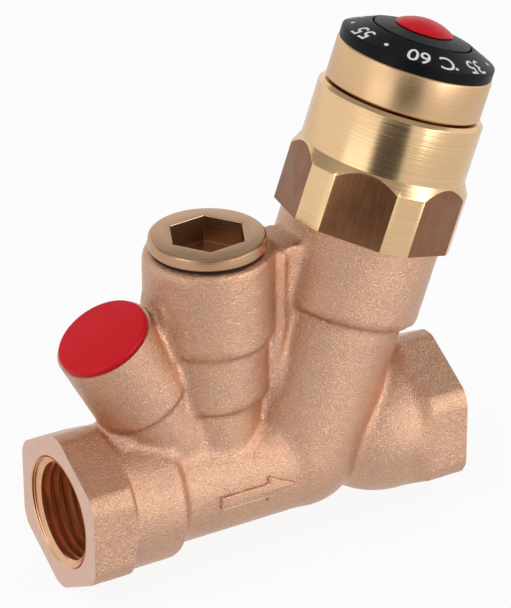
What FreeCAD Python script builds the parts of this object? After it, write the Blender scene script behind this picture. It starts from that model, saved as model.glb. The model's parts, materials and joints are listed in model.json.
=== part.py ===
import FreeCAD, Part
import math
import os
import re
import Sketcher
from FreeCAD import Placement, Rotation, Vector

# Circulation valve for hot-water return pipes, in millimetres. X runs along the pipe in the direction
# of flow, Z is up, and the origin is the centre of the inlet's threaded mouth.
# Every boss has its axis in the XZ plane. Heights on a boss are measured along its axis from the point
# where that axis crosses the axis of the run.

SIZES = {
    # Run of the casting, with a parallel half-inch pipe thread in each hexagon end
    "body_length": 80,
    "thread_radius": 10.478,
    "thread_length": 15,
    "thread_taper": 3,
    "end_flats": 28.2,
    "end_hex_length": 9,
    "end_turned_radius": 15.5,
    "end_hex_round": 1.2,
    "shoulder_radius": 13.9,
    "shoulder_length": 11.5,
    "shoulder_round": 2,
    "pipe_radius": 11.9,
    "barrel_radius": 18.5,
    "barrel_length": 15,
    "barrel_straight": 11,
    # Waterways
    "waterway_radius": 6,
    "inlet_slope": 6.5,
    "inlet_waterway_length": 34,
    "outlet_slope": 51.6,
    "outlet_waterway_length": 15.3,
    "outlet_waterway_start": 14,
    "outlet_waterway_rise": 3.5,
    # Upright service boss with its plug and the bypass beneath it
    "service_axis": 32.05,
    "service_height": 46,
    "service_radius": 12,
    "service_upper_step": 28.4,
    "service_middle_radius": 10.7,
    "service_lower_step": 16.4,
    "service_lower_radius": 9.3,
    "service_step_round": 1,
    "service_top_round": 0.7,
    "service_bore": 9,
    "service_thread_length": 10,
    "bypass_bore": 6.3,
    "bypass_seat_height": 12,
    "bypass_port": 3.5,
    "bypass_channel": 2,
    "bypass_channel_height": 17,
    "service_gasket": 0.5,
    "service_gasket_width": 1.1,
    "service_flange_radius": 10.8,
    "service_flange": 2.3,
    "service_flange_chamfer": 0.4,
    "service_socket": 13,
    "service_socket_depth": 5.3,
    "service_socket_turn": 5,
    "spring_spigot_radius": 3,
    "spring_spigot_length": 2,
    "bypass_seal": 1,
    "bypass_seal_radius": 5.2,
    "bypass_disc": 1.8,
    "bypass_disc_radius": 5.8,
    "bypass_stem_radius": 2.6,
    "bypass_stem_length": 9,
    "bypass_spring_radius": 3.9,
    "bypass_wire": 0.8,
    "bypass_turns": 6,
    # Slanted sensor boss with its push-in plug
    "sensor_axis": 28.3,
    "sensor_tilt": 28.46,
    "sensor_height": 37.6,
    "sensor_radius": 9.3,
    "sensor_step": 22,
    "sensor_step_round": 0.6,
    "sensor_lower_radius": 8.5,
    "sensor_bore": 6.9,
    "sensor_depth": 13.7,
    "port_flange_radius": 8.8,
    "port_flange": 1,
    "port_wall": 1.4,
    "port_length": 9.5,
    # Slanted bonnet neck and the regulating chamber inside it
    "bonnet_axis": 49.4,
    "bonnet_tilt": 20,
    "neck_radius": 13,
    "neck_base": 1,
    "neck_step": 29.2,
    "neck_upper_radius": 15.3,
    "neck_step_round": 1.8,
    "neck_height": 45.2,
    "neck_bore": 12.05,
    "neck_bore_depth": 12.2,
    "chamber_radius": 9.5,
    "chamber_floor": 3,
    "seat_height": 4,
    "seat_radius": 6,
    "seat_lip": 1.2,
    "lower_chamber_radius": 6.8,
    "lower_chamber_top": 1,
    "lower_chamber_depth": 7.5,
    # Webs that tie the bosses together
    "service_web_thickness": 10,
    "service_web_drop": 1.5,
    "service_web_length": 20,
    "service_web_base": 10,
    "sensor_web_thickness": 4,
    "sensor_web_drop": 9.5,
    "sensor_web_base": 25,
    "sensor_web_reach": 3,
    # Bonnet
    "bonnet_flats": 31.9,
    "bonnet_turned_radius": 17,
    "bonnet_hex_height": 11,
    "bonnet_cone_height": 2.4,
    "bonnet_turn": 12.5,
    "housing_radius": 15.8,
    "housing_height": 24.9,
    "housing_chamfer": 0.7,
    "spigot_length": 11.7,
    "bonnet_ring_groove": 2,
    "bonnet_ring_depth": 1.5,
    "bonnet_ring_drop": 0.8,
    "head_spigot_radius": 12.4,
    "head_spigot_height": 4.4,
    "guide_flats": 15.9,
    "guide_length": 24,
    "collar_bore": 6.3,
    "collar_room": 3.5,
    "stem_bore": 4.6,
    "stem_bore_length": 10.8,
    "clip_recess_radius": 7.5,
    # Head with scale, pointer and cover
    "head_gap": 0.3,
    "head_radius": 14.8,
    "head_height": 7.8,
    "head_edge": 0.3,
    "head_bore": 12.9,
    "head_ledge_bore": 11,
    "head_ledge": 1.1,
    "scale_radius": 14.6,
    "scale_wall": 2.1,
    "scale_cone_height": 2.2,
    "scale_bore": 9.5,
    "scale_rim": 0.4,
    "scale_floor_drop": 1.7,
    "scale_hub_bore": 8,
    "pointer_radius": 9.2,
    "pointer_rise": 0.2,
    "pointer_crown": 0.8,
    "pointer_crown_radius": 5.9,
    "pointer_hub_length": 4.6,
    "cover_bore": 4.7,
    "cover_depth": 2.6,
    "cover_radius": 5.5,
    "cover_edge": 0.3,
    "cover_dome": 1.6,
    # Spindle
    "drive_flats": 6.4,
    "drive_turned_radius": 3.6,
    "key_flats": 2.5,
    "key_depth": 4,
    "collar_height": 2.4,
    "washer": 0.5,
    "ring_groove": 2,
    "ring_groove_radius": 3.4,
    "ring_lower_rise": 2,
    "ring_pitch": 3.6,
    "clip_thickness": 0.7,
    "clip_groove_radius": 3.7,
    "clip_width": 2.7,
    "clip_rise": 0.25,
    "spindle_neck": 2,
    "thread_stem_radius": 3.95,
    "thread_stem_length": 12,
    # Setting nut, overtravel cup and expanding element
    "nut_top_room": 5.5,
    "nut_length": 24.5,
    "nut_turned_radius": 9,
    "nut_bore": 6.2,
    "nut_thread_length": 8,
    "cup_clip": 0.8,
    "cup_clip_rise": 0.7,
    "cup_clip_width": 1.7,
    "cup_clip_groove": 0.5,
    "cup_flange": 1.5,
    "cup_stem_radius": 3.3,
    "cup_stem_length": 5.4,
    "cup_socket_depth": 1.9,
    "overtravel_spring_radius": 4.75,
    "overtravel_wire": 1,
    "overtravel_turns": 5,
    "piston_radius": 1.5,
    "piston_reach": 4.5,
    "element_guide_radius": 3.6,
    "element_guide_top": 23.5,
    "element_flange_radius": 7,
    "element_flange": 1.5,
    "element_radius": 5.9,
    "cone_lift": 3.4,
    "cone_nose_radius": 5.6,
    "cone_nose_length": 2.2,
    "cone_seal": 1.2,
    "cone_seal_radius": 7.6,
    "cone_radius": 7.9,
    "cone_floor": 1,
    "cone_skirt": 5.8,
    "cone_flange_radius": 9.2,
    "cone_flange": 1.6,
    "return_spring_radius": 8.65,
    "return_wire": 0.8,
    "return_turns": 4,
    # Clearances
    "fit_gap": 0.05,
    "slide_gap": 0.1,
}

# Heights that follow from the sizes above
SERVICE_SEAT = "service_height + service_gasket"
SERVICE_TOP = f"{SERVICE_SEAT} + service_flange"
SERVICE_FOOT = "service_height - service_thread_length + fit_gap"
BYPASS_DISC = "bypass_seat_height + fit_gap + bypass_seal"
BYPASS_TOP = f"{BYPASS_DISC} + bypass_disc"
PORT_SEAT = "sensor_height + fit_gap"
SPIGOT_FOOT = "neck_height - spigot_length"
HOUSING_TOP = "neck_height + housing_height"
HEAD_SPIGOT_TOP = f"{HOUSING_TOP} + head_spigot_height"
LEDGE = f"{SPIGOT_FOOT} + guide_length + collar_room"
STEM_TOP = f"{LEDGE} + stem_bore_length"
HEAD_FOOT = f"{HOUSING_TOP} + head_gap"
HEAD_TOP = f"{HEAD_FOOT} + head_height"
HEAD_LEDGE = f"{HEAD_SPIGOT_TOP} + fit_gap"
SCALE_FOOT = f"{HEAD_LEDGE} + head_ledge + fit_gap"
SCALE_SEAT = f"{HEAD_TOP} + fit_gap"
SCALE_TOP = f"{SCALE_SEAT} + scale_wall + scale_cone_height"
SCALE_FLOOR = f"{SCALE_TOP} - scale_floor_drop"
POINTER_FOOT = f"{SCALE_FLOOR} + slide_gap"
POINTER_TOP = f"{SCALE_TOP} + pointer_rise"
POINTER_CROWN = f"{POINTER_TOP} + pointer_crown"
COVER_FLOOR = f"{POINTER_TOP} - cover_depth"
SPINDLE_TOP = f"{COVER_FLOOR} - slide_gap"
COLLAR_TOP = f"{LEDGE} - washer - 2 * fit_gap"
COLLAR_FOOT = f"{COLLAR_TOP} - collar_height"
RING_LOWER = f"{LEDGE} + ring_lower_rise"
RING_UPPER = f"{RING_LOWER} + ring_pitch"
CLIP_FOOT = f"{STEM_TOP} + clip_rise"
CLIP_TOP = f"{CLIP_FOOT} + clip_thickness + 2 * fit_gap"
SPINDLE_SHOULDER = f"{CLIP_TOP} + spindle_neck"
NUT_TOP = f"{SPIGOT_FOOT} + guide_length - nut_top_room"
NUT_FOOT = f"{NUT_TOP} - nut_length"
NUT_CEILING = f"{NUT_TOP} - nut_thread_length"
CUP_CLIP_FOOT = f"{NUT_FOOT} + cup_clip_rise"
CUP_FOOT = f"{CUP_CLIP_FOOT} + cup_clip + 2 * fit_gap"
CUP_TOP = f"{CUP_FOOT} + cup_flange"
SEAL_FOOT = "seat_height + cone_lift"
CONE_FOOT = f"{SEAL_FOOT} + cone_seal"
CONE_SHOULDER = f"{CONE_FOOT} + cone_skirt"
CONE_TOP = f"{CONE_SHOULDER} + cone_flange"
ELEMENT_SEAT = f"{CONE_TOP} + fit_gap"

doc = FreeCAD.newDocument("circulation_valve")
sheet = doc.addObject("Spreadsheet::Sheet", "Sizes")
for row, (alias, size) in enumerate(SIZES.items(), start=1):
    sheet.set(f"A{row}", alias)
    sheet.set(f"B{row}", str(size))
    sheet.setAlias(f"B{row}", alias)
doc.recompute()


def bound(text):
    """An expression on the sheet, from one written with the plain names of the sizes."""
    return re.sub(r"[a-z][a-z_]*\b(?!\()", r"Sizes.\g<0>", text)


def number(text):
    return float(sheet.evalExpression(text))


# The four axes of the casting: where each crosses the run, how far it leans from upright, and the
# direction that it leans to along X
AXES = {
    "run": ("0", "90", 1),
    "service": ("service_axis", "0", 1),
    "sensor": ("sensor_axis", "sensor_tilt", -1),
    "bonnet": ("bonnet_axis", "bonnet_tilt", 1),
}


def place(piece, axis):
    """Stand a piece, modelled along its own Z, on one of the axes."""
    crossing, tilt, side = AXES[axis]
    piece.Placement = Placement(Vector(number(crossing), 0, 0), Rotation(Vector(0, side, 0), number(tilt)))
    piece.setExpression("Placement.Base.x", bound(crossing))
    piece.setExpression("Placement.Rotation.Angle", bound(tilt))


def new_body(label, axis=None):
    body = doc.addObject("PartDesign::Body", label)
    body.Label = label
    if axis:
        place(body, axis)
    return body


def attach(feature, body, plane, offset=Placement()):
    feature.AttachmentSupport = [(next(f for f in body.Origin.OriginFeatures if f.Role == plane), "")]
    feature.MapMode = "FlatFace"
    feature.AttachmentOffset = offset


def new_sketch(body, name, plane, offset=Placement()):
    sketch = body.newObject("Sketcher::SketchObject", name)
    attach(sketch, body, plane, offset)
    return sketch


def leaning_sketch(body, name, axis):
    """A sketch in the XZ plane whose vertical axis is one of the casting's axes."""
    crossing, tilt, side = AXES[axis]
    offset = Placement(Vector(number(crossing), 0, 0), Rotation(Vector(0, 0, -side), number(tilt)))
    sketch = new_sketch(body, name, "XZ_Plane", offset)
    sketch.setExpression("AttachmentOffset.Base.x", bound(crossing))
    sketch.setExpression("AttachmentOffset.Rotation.Angle", bound(tilt))
    return sketch


def measure(sketch, kind, geometry, end, text):
    """Fix one coordinate of a sketch point to an expression, DistanceX or DistanceY from the origin."""
    size = number(text)
    if abs(size) < 1e-9:
        axis = -2 if kind == "DistanceX" else -1
        sketch.addConstraint(Sketcher.Constraint("PointOnObject", geometry, end, axis))
        return
    if size > 0:
        index = sketch.addConstraint(Sketcher.Constraint(kind, -1, 1, geometry, end, size))
        sketch.setExpression(f"Constraints[{index}]", bound(text))
    else:
        index = sketch.addConstraint(Sketcher.Constraint(kind, geometry, end, -1, 1, -size))
        sketch.setExpression(f"Constraints[{index}]", f"-({bound(text)})")


def outward_arc(start, end, radius):
    """The arc that runs from start to end and bulges to the right of that direction."""
    chord = end - start
    rise = math.sqrt(radius ** 2 - chord.Length ** 2 / 4)
    left = Vector(-chord.y, chord.x, 0).normalize()
    return arc_about((start + end) / 2 + left * rise, start, end)


def dome_arc(start, end):
    """The arc from start to end whose centre is on the sketch's vertical axis."""
    height = (end.dot(end) - start.dot(start)) / (2 * (end.y - start.y))
    return arc_about(Vector(0, height, 0), start, end)


def arc_about(centre, start, end):
    first = math.atan2(start.y - centre.y, start.x - centre.x)
    last = math.atan2(end.y - centre.y, end.x - centre.x)
    return Part.ArcOfCircle(Part.Circle(centre, Vector(0, 0, 1), (start - centre).Length), first, last)


def draw_outline(sketch, outline):
    """Draw a closed outline of (across, up) points. A third item makes an arc to the next point: its
    radius, or the word dome where its centre lies on the vertical axis."""
    points = [Vector(number(point[0]), number(point[1]), 0) for point in outline]
    count = len(outline)
    for index, point in enumerate(outline):
        start, end = points[index], points[(index + 1) % count]
        if len(point) == 2:
            sketch.addGeometry(Part.LineSegment(start, end), False)
        elif point[2] == "dome":
            sketch.addGeometry(dome_arc(start, end), False)
        else:
            sketch.addGeometry(outward_arc(start, end, number(point[2])), False)
    for index, point in enumerate(outline):
        sketch.addConstraint(Sketcher.Constraint("Coincident", index, 2, (index + 1) % count, 1))
        measure(sketch, "DistanceX", index, 1, point[0])
        measure(sketch, "DistanceY", index, 1, point[1])
        if len(point) == 2:
            continue
        if point[2] == "dome":
            sketch.addConstraint(Sketcher.Constraint("PointOnObject", index, 3, -2))
        else:
            radius = sketch.addConstraint(Sketcher.Constraint("Radius", index, number(point[2])))
            sketch.setExpression(f"Constraints[{radius}]", bound(point[2]))


def revolve(body, sketch, name, cut=False):
    feature = body.newObject("PartDesign::Groove" if cut else "PartDesign::Revolution", name)
    feature.Profile = sketch
    feature.ReferenceAxis = (sketch, ["V_Axis"])
    feature.Angle = 360
    return feature


def turn_on(body, axis, name, outline, cut=False):
    """Add or cut a round form about one of the casting's axes, from (radius, height) points."""
    sketch = leaning_sketch(body, f"{name}_outline", axis)
    draw_outline(sketch, outline)
    return revolve(body, sketch, name, cut)


def turned(label, axis, outline):
    """A turned piece of (radius, height) points, standing on one of the axes."""
    body = new_body(label, axis)
    sketch = new_sketch(body, f"{label}_outline", "XZ_Plane")
    draw_outline(sketch, outline)
    revolve(body, sketch, f"{label}_turned")
    return body


def flat_ring(label, axis, inner, outer, foot, top):
    return turned(label, axis, [(inner, foot), (outer, foot), (outer, top), (inner, top)])


def round_ring(label, axis, radius, section, height):
    """A ring of round section."""
    body = new_body(label, axis)
    sketch = new_sketch(body, f"{label}_section", "XZ_Plane")
    centre = Vector(number(radius), number(height), 0)
    sketch.addGeometry(Part.Circle(centre, Vector(0, 0, 1), number(section)))
    measure(sketch, "DistanceX", 0, 3, radius)
    measure(sketch, "DistanceY", 0, 3, height)
    size = sketch.addConstraint(Sketcher.Constraint("Radius", 0, number(section)))
    sketch.setExpression(f"Constraints[{size}]", bound(section))
    revolve(body, sketch, f"{label}_turned")
    return body


def hexagon(sketch, flats):
    """A hexagon about the origin with a corner on the sketch's horizontal axis."""
    corner = number(flats) / math.sqrt(3)
    points = [Vector(corner, 0, 0)]
    for index in range(1, 6):
        points.append(Rotation(Vector(0, 0, 1), 60 * index).multVec(points[0]))
    for index in range(6):
        sketch.addGeometry(Part.LineSegment(points[index], points[(index + 1) % 6]), False)
    circle = sketch.addGeometry(Part.Circle(Vector(), Vector(0, 0, 1), corner), True)
    sketch.addConstraint(Sketcher.Constraint("Coincident", circle, 3, -1, 1))
    radius = sketch.addConstraint(Sketcher.Constraint("Radius", circle, corner))
    sketch.setExpression(f"Constraints[{radius}]", f"({bound(flats)}) / sqrt(3)")
    for index in range(6):
        sketch.addConstraint(Sketcher.Constraint("Coincident", index, 2, (index + 1) % 6, 1))
        sketch.addConstraint(Sketcher.Constraint("PointOnObject", index, 1, circle))
    for index in range(1, 5):
        sketch.addConstraint(Sketcher.Constraint("Equal", 0, index))
    sketch.addConstraint(Sketcher.Constraint("PointOnObject", 0, 1, -1))


def cut_hexagon(body, name, plane, flats, start, depth, turn="0", upward=False, outside=False):
    """Cut a hexagon socket, or what stands outside a hexagon, from the plane at start."""
    offset = Placement(Vector(0, 0, number(start)), Rotation(Vector(0, 0, 1), number(turn)))
    sketch = new_sketch(body, f"{name}_outline", plane, offset)
    sketch.setExpression("AttachmentOffset.Base.z", bound(start))
    sketch.setExpression("AttachmentOffset.Rotation.Angle", bound(turn))
    hexagon(sketch, flats)
    if outside:
        rim = sketch.addGeometry(Part.Circle(Vector(), Vector(0, 0, 1), number(flats)), False)
        sketch.addConstraint(Sketcher.Constraint("Coincident", rim, 3, -1, 1))
        radius = sketch.addConstraint(Sketcher.Constraint("Radius", rim, number(flats)))
        sketch.setExpression(f"Constraints[{radius}]", bound(flats))
    pocket = body.newObject("PartDesign::Pocket", name)
    pocket.Profile = sketch
    pocket.Reversed = upward
    pocket.setExpression("Length", bound(depth))
    return pocket


def drill(body, name, radius, length, start, tilt, side):
    """Drill a round passage from a point in the XZ plane, leaning from upright to one side along X."""
    across, up = start
    hole = body.newObject("PartDesign::SubtractiveCylinder", name)
    spot = Vector(number(across), 0, number(up))
    attach(hole, body, "XY_Plane", Placement(spot, Rotation(Vector(0, side, 0), number(tilt))))
    hole.setExpression("AttachmentOffset.Base.x", bound(across))
    hole.setExpression("AttachmentOffset.Base.z", bound(up))
    hole.setExpression("AttachmentOffset.Rotation.Angle", bound(tilt))
    hole.setExpression("Radius", bound(radius))
    hole.setExpression("Height", bound(length))
    return hole


def web(body, name, thickness, left, right, foot, top):
    """A plate in the XZ plane between two bosses."""
    sketch = new_sketch(body, f"{name}_outline", "XZ_Plane")
    draw_outline(sketch, [(left, foot), (right, foot), (right, top), (left, top)])
    pad = body.newObject("PartDesign::Pad", name)
    pad.Profile = sketch
    pad.Midplane = True
    pad.setExpression("Length", bound(thickness))
    return pad


def coil(label, axis, radius, wire, turns, foot, top):
    """A compression spring between two seats."""
    low = f"{foot} + {wire} / 2 + fit_gap"
    high = f"{top} - {wire} / 2 - fit_gap"
    line = doc.addObject("Part::Helix", f"{label}_line")
    line.setExpression("Radius", bound(radius))
    line.setExpression("Height", bound(f"({high}) - ({low})"))
    line.setExpression("Pitch", bound(f"(({high}) - ({low})) / {turns}"))
    line.setExpression("Placement.Base.z", bound(low))
    section = doc.addObject("Part::RegularPolygon", f"{label}_section")
    section.Polygon = 4
    section.setExpression("Circumradius", bound(f"{wire} / 2"))
    section.Placement = Placement(Vector(number(radius), 0, number(low)), Rotation(Vector(1, 0, 0), 90))
    section.setExpression("Placement.Base.x", bound(radius))
    section.setExpression("Placement.Base.z", bound(low))
    spring = doc.addObject("Part::Sweep", label)
    spring.Label = label
    spring.Sections = [section]
    spring.Spine = line
    spring.Solid = True
    spring.Frenet = True
    place(spring, axis)
    return spring


def make_valve_body():
    body = new_body("valve_body")
    shoulder_end = "end_hex_length + shoulder_length"
    turn_on(body, "run", "inlet_run", [
        ("0", "0"),
        ("end_turned_radius", "0"),
        ("end_turned_radius", "end_hex_length - end_hex_round", "end_hex_round"),
        ("end_turned_radius - end_hex_round", "end_hex_length"),
        ("shoulder_radius", "end_hex_length"),
        ("shoulder_radius", f"{shoulder_end} - (shoulder_radius - pipe_radius)", "shoulder_round"),
        ("pipe_radius", shoulder_end),
        ("pipe_radius", "bonnet_axis"),
        ("0", "bonnet_axis"),
    ])
    barrel_top = "body_length - barrel_straight"
    barrel_foot = f"{barrel_top} - barrel_length"
    barrel_end = "shoulder_radius - barrel_radius + sqrt(barrel_radius ^ 2 - barrel_length ^ 2)"
    outlet_hex = "body_length - end_hex_length"
    turn_on(body, "run", "outlet_run", [
        ("0", barrel_foot),
        (barrel_end, barrel_foot, "barrel_radius"),
        ("shoulder_radius", barrel_top),
        ("shoulder_radius", outlet_hex),
        ("end_turned_radius - end_hex_round", outlet_hex, "end_hex_round"),
        ("end_turned_radius", f"{outlet_hex} + end_hex_round"),
        ("end_turned_radius", "body_length"),
        ("0", "body_length"),
    ])
    cut_hexagon(body, "inlet_hexagon", "YZ_Plane", "end_flats", "0", "end_hex_length", "90", True, True)
    cut_hexagon(body, "outlet_hexagon", "YZ_Plane", "end_flats", "body_length", "end_hex_length", "90",
                False, True)
    turn_on(body, "service", "service_boss", [
        ("0", "0"),
        ("service_lower_radius", "0"),
        ("service_lower_radius", "service_lower_step"),
        ("service_middle_radius - service_step_round", "service_lower_step", "service_step_round"),
        ("service_middle_radius", "service_lower_step + service_step_round"),
        ("service_middle_radius", "service_upper_step"),
        ("service_radius - service_step_round", "service_upper_step", "service_step_round"),
        ("service_radius", "service_upper_step + service_step_round"),
        ("service_radius", "service_height - service_top_round", "service_top_round"),
        ("service_radius - service_top_round", "service_height"),
        ("0", "service_height"),
    ])
    turn_on(body, "sensor", "sensor_boss", [
        ("0", "0"),
        ("sensor_lower_radius", "0"),
        ("sensor_lower_radius", "sensor_step"),
        ("sensor_radius - sensor_step_round", "sensor_step", "sensor_step_round"),
        ("sensor_radius", "sensor_step + sensor_step_round"),
        ("sensor_radius", "sensor_height"),
        ("0", "sensor_height"),
    ])
    turn_on(body, "bonnet", "bonnet_neck", [
        ("0", "neck_base - neck_radius", "dome"),
        ("neck_radius", "neck_base"),
        ("neck_radius", "neck_step"),
        ("neck_upper_radius - neck_step_round", "neck_step", "neck_step_round"),
        ("neck_upper_radius", "neck_step + neck_step_round"),
        ("neck_upper_radius", "neck_height"),
        ("0", "neck_height"),
    ])
    web(body, "service_web", "service_web_thickness", "service_axis", "service_axis + service_web_length",
        "service_web_base", "service_height - service_web_drop")
    web(body, "sensor_web", "sensor_web_thickness", "service_axis - service_radius - sensor_web_reach",
        "service_axis", "sensor_web_base", "service_height - sensor_web_drop")
    return body


def bore_valve_body(body):
    taper_end = "thread_length + thread_taper"
    turn_on(body, "run", "inlet_thread", [
        ("0", "0"),
        ("thread_radius", "0"),
        ("thread_radius", "thread_length"),
        ("waterway_radius", taper_end),
        ("0", taper_end),
    ], cut=True)
    turn_on(body, "run", "outlet_thread", [
        ("0", f"body_length - ({taper_end})"),
        ("waterway_radius", f"body_length - ({taper_end})"),
        ("thread_radius", "body_length - thread_length"),
        ("thread_radius", "body_length"),
        ("0", "body_length"),
    ], cut=True)
    drill(body, "inlet_waterway", "waterway_radius", "inlet_waterway_length",
          ("thread_length", "0"), "90 + inlet_slope", 1)
    drill(body, "outlet_waterway", "waterway_radius", "outlet_waterway_length",
          ("body_length - outlet_waterway_start", "outlet_waterway_rise"), "outlet_slope", -1)
    turn_on(body, "bonnet", "regulating_chamber", [
        ("0", "-lower_chamber_depth"),
        ("lower_chamber_radius", "-lower_chamber_depth"),
        ("lower_chamber_radius", "lower_chamber_top"),
        ("seat_radius", "lower_chamber_top"),
        ("seat_radius", "seat_height"),
        ("seat_radius + seat_lip", "seat_height"),
        ("seat_radius + seat_lip", "chamber_floor"),
        ("chamber_radius", "chamber_floor"),
        ("chamber_radius", "neck_height - neck_bore_depth"),
        ("neck_bore", "neck_height - neck_bore_depth"),
        ("neck_bore", "neck_height"),
        ("0", "neck_height"),
    ], cut=True)
    turn_on(body, "service", "service_bores", [
        ("0", "0"),
        ("bypass_port", "0"),
        ("bypass_port", "bypass_seat_height"),
        ("bypass_bore", "bypass_seat_height"),
        ("bypass_bore", "service_height - service_thread_length"),
        ("service_bore", "service_height - service_thread_length"),
        ("service_bore", "service_height"),
        ("0", "service_height"),
    ], cut=True)
    drill(body, "bypass_passage", "bypass_channel", "bonnet_axis - service_axis",
          ("service_axis", "bypass_channel_height"), "90", 1)
    turn_on(body, "sensor", "sensor_pocket", [
        ("0", "sensor_height - sensor_depth"),
        ("sensor_bore", "sensor_height - sensor_depth"),
        ("sensor_bore", "sensor_height"),
        ("0", "sensor_height"),
    ], cut=True)


def make_service_pieces():
    plug = turned("service_plug", "service", [
        ("0", f"{SERVICE_FOOT} - spring_spigot_length"),
        ("spring_spigot_radius", f"{SERVICE_FOOT} - spring_spigot_length"),
        ("spring_spigot_radius", SERVICE_FOOT),
        ("service_bore - fit_gap", SERVICE_FOOT),
        ("service_bore - fit_gap", SERVICE_SEAT),
        ("service_flange_radius", SERVICE_SEAT),
        ("service_flange_radius", f"{SERVICE_TOP} - service_flange_chamfer"),
        ("service_flange_radius - service_flange_chamfer", SERVICE_TOP),
        ("0", SERVICE_TOP),
    ])
    cut_hexagon(plug, "service_socket", "XY_Plane", "service_socket", SERVICE_TOP, "service_socket_depth",
                "service_socket_turn")
    flat_ring("service_plug_gasket", "service", "service_bore + fit_gap",
              "service_bore + fit_gap + service_gasket_width", "service_height", SERVICE_SEAT)
    flat_ring("bypass_seal", "service", "bypass_stem_radius + fit_gap", "bypass_seal_radius",
              "bypass_seat_height + fit_gap", BYPASS_DISC)
    turned("bypass_cone", "service", [
        ("0", "bypass_seat_height + fit_gap"),
        ("bypass_stem_radius", "bypass_seat_height + fit_gap"),
        ("bypass_stem_radius", BYPASS_DISC),
        ("bypass_disc_radius", BYPASS_DISC),
        ("bypass_disc_radius", BYPASS_TOP),
        ("bypass_stem_radius", BYPASS_TOP),
        ("bypass_stem_radius", f"{BYPASS_TOP} + bypass_stem_length"),
        ("0", f"{BYPASS_TOP} + bypass_stem_length"),
    ])
    coil("bypass_spring", "service", "bypass_spring_radius", "bypass_wire", "bypass_turns",
         BYPASS_TOP, SERVICE_FOOT)


def make_port_plug():
    foot = f"{PORT_SEAT} - port_length"
    shank = "sensor_bore - fit_gap"
    top = f"{PORT_SEAT} + port_flange"
    turned("port_plug", "sensor", [
        (f"{shank} - port_wall", foot),
        (shank, foot),
        (shank, PORT_SEAT),
        ("port_flange_radius", PORT_SEAT),
        ("port_flange_radius", f"{top} - port_flange / 2", "port_flange / 2"),
        ("port_flange_radius - port_flange / 2", top),
        ("0", top),
        ("0", f"{top} - port_wall"),
        (f"{shank} - port_wall", f"{top} - port_wall"),
    ])


def make_bonnet():
    spigot = "neck_bore - fit_gap"
    groove_top = "neck_height - bonnet_ring_drop"
    groove_foot = f"{groove_top} - bonnet_ring_groove"
    cone_foot = "neck_height + bonnet_hex_height"
    bonnet = turned("bonnet", "bonnet", [
        ("collar_bore", SPIGOT_FOOT),
        (spigot, SPIGOT_FOOT),
        (spigot, groove_foot),
        (f"{spigot} - bonnet_ring_depth", groove_foot),
        (f"{spigot} - bonnet_ring_depth", groove_top),
        (spigot, groove_top),
        (spigot, "neck_height"),
        ("bonnet_turned_radius", "neck_height"),
        ("bonnet_turned_radius", cone_foot),
        ("housing_radius", f"{cone_foot} + bonnet_cone_height"),
        ("housing_radius", f"{HOUSING_TOP} - housing_chamfer"),
        ("housing_radius - housing_chamfer", HOUSING_TOP),
        ("head_spigot_radius", HOUSING_TOP),
        ("head_spigot_radius", HEAD_SPIGOT_TOP),
        ("clip_recess_radius", HEAD_SPIGOT_TOP),
        ("clip_recess_radius", STEM_TOP),
        ("stem_bore", STEM_TOP),
        ("stem_bore", LEDGE),
        ("collar_bore", LEDGE),
    ])
    cut_hexagon(bonnet, "bonnet_hexagon", "XY_Plane", "bonnet_flats", "neck_height",
                "bonnet_hex_height + bonnet_cone_height", "30 - bonnet_turn", True, True)
    cut_hexagon(bonnet, "nut_guide", "XY_Plane", "guide_flats", SPIGOT_FOOT, "guide_length",
                "30 - bonnet_turn", True)
    section = "bonnet_ring_depth / 2"
    round_ring("bonnet_o_ring", "bonnet", f"{spigot} - {section}", section,
               f"{groove_top} - bonnet_ring_groove / 2")


def make_head():
    flat_edge = "head_radius - head_edge"
    turned("head_ring", "bonnet", [
        ("head_spigot_radius + fit_gap", HEAD_FOOT),
        (flat_edge, HEAD_FOOT),
        ("head_radius", f"{HEAD_FOOT} + head_edge"),
        ("head_radius", f"{HEAD_TOP} - head_edge"),
        (flat_edge, HEAD_TOP),
        ("head_bore", HEAD_TOP),
        ("head_bore", f"{HEAD_LEDGE} + head_ledge"),
        ("head_ledge_bore", f"{HEAD_LEDGE} + head_ledge"),
        ("head_ledge_bore", HEAD_LEDGE),
        ("head_spigot_radius + fit_gap", HEAD_LEDGE),
    ])
    turned("scale_ring", "bonnet", [
        ("scale_hub_bore", SCALE_FOOT),
        ("head_bore - fit_gap", SCALE_FOOT),
        ("head_bore - fit_gap", SCALE_SEAT),
        ("scale_radius", SCALE_SEAT),
        ("scale_radius", f"{SCALE_SEAT} + scale_wall"),
        ("scale_bore + scale_rim", SCALE_TOP),
        ("scale_bore", SCALE_TOP),
        ("scale_bore", SCALE_FLOOR),
        ("scale_hub_bore", SCALE_FLOOR),
    ])
    hub_foot = f"{POINTER_FOOT} - pointer_hub_length"
    pointer = turned("pointer_disc", "bonnet", [
        ("drive_flats / 2", hub_foot),
        ("scale_hub_bore - slide_gap", hub_foot),
        ("scale_hub_bore - slide_gap", POINTER_FOOT),
        ("pointer_radius", POINTER_FOOT),
        ("pointer_radius", POINTER_TOP),
        ("pointer_crown_radius", POINTER_CROWN),
        ("cover_bore", POINTER_CROWN),
        ("cover_bore", COVER_FLOOR),
        ("drive_flats / 2", COVER_FLOOR),
    ])
    cut_hexagon(pointer, "pointer_drive", "XY_Plane", "drive_flats + 2 * fit_gap", COVER_FLOOR,
                f"{COVER_FLOOR} - ({hub_foot})")
    cover_seat = f"{POINTER_CROWN} + fit_gap"
    turned("cover_plug", "bonnet", [
        ("0", f"{COVER_FLOOR} + slide_gap"),
        ("cover_bore - fit_gap", f"{COVER_FLOOR} + slide_gap"),
        ("cover_bore - fit_gap", cover_seat),
        ("cover_radius", cover_seat),
        ("cover_radius", f"{cover_seat} + cover_edge", "dome"),
        ("0", f"{cover_seat} + cover_edge + cover_dome"),
    ])


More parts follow.
